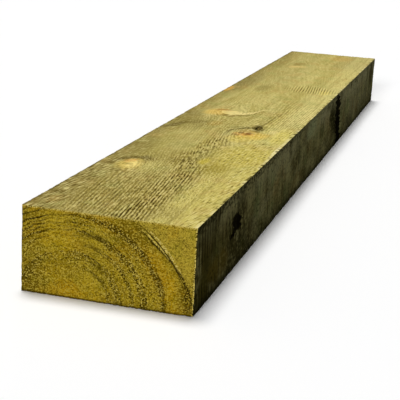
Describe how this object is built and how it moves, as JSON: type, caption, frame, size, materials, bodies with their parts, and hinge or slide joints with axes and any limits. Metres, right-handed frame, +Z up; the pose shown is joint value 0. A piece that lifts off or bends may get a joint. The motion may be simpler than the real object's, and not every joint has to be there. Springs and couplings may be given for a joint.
{
  "type": "railway sleeper",
  "caption": "Rectangular rough-sawn softwood beam, green pressure treated, crosscut square at both ends, for raised beds, edging and steps.",
  "frame": {"origin": "middle of the broad face that the sleeper lies on", "axes": "+X across the width, +Y along the length away from the end with the ring shake, +Z up from the face it lies on"},
  "size_m": [0.2, 1.5, 0.1],
  "materials": {
    "treated_softwood": "rough sawn, matt, green pressure treatment"
  },
  "bodies": {
    "root": {"sleeper": "treated_softwood"}
  },
  "joints": []
}
